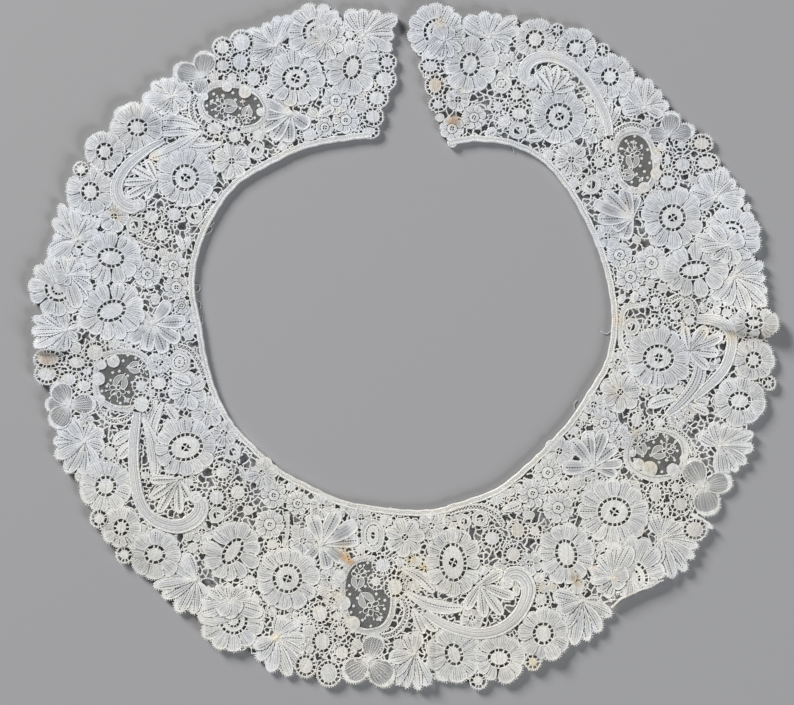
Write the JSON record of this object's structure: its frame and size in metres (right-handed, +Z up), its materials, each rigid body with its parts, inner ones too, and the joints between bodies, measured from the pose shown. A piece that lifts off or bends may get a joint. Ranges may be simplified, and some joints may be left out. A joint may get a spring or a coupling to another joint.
{
  "type": "lace collar",
  "caption": "Round flat lace collar with a front opening, a scalloped outer edge, needle-lace insets and a corded neck tape, laid out flat.",
  "frame": {"origin": "middle of the laid-out collar's box, on the surface that it lies on", "axes": "+X across the collar to the right as laid out, +Y from the back of the neck towards the front opening, +Z up through the thickness"},
  "size_m": [0.3286, 0.301, 0.0047],
  "materials": {
    "bobbin_lace": "matt cotton or linen thread, cream white with cooler half-stitch parts",
    "needle_lace": "fine matt net with an outline cord",
    "tape": "matt plaited thread"
  },
  "bodies": {
    "root": {"lace_panel": "bobbin_lace", "medallion_1": "needle_lace", "medallion_2": "needle_lace", "medallion_3": "needle_lace", "medallion_4": "needle_lace", "medallion_5": "needle_lace", "neck_tape": "tape"}
  },
  "joints": []
}
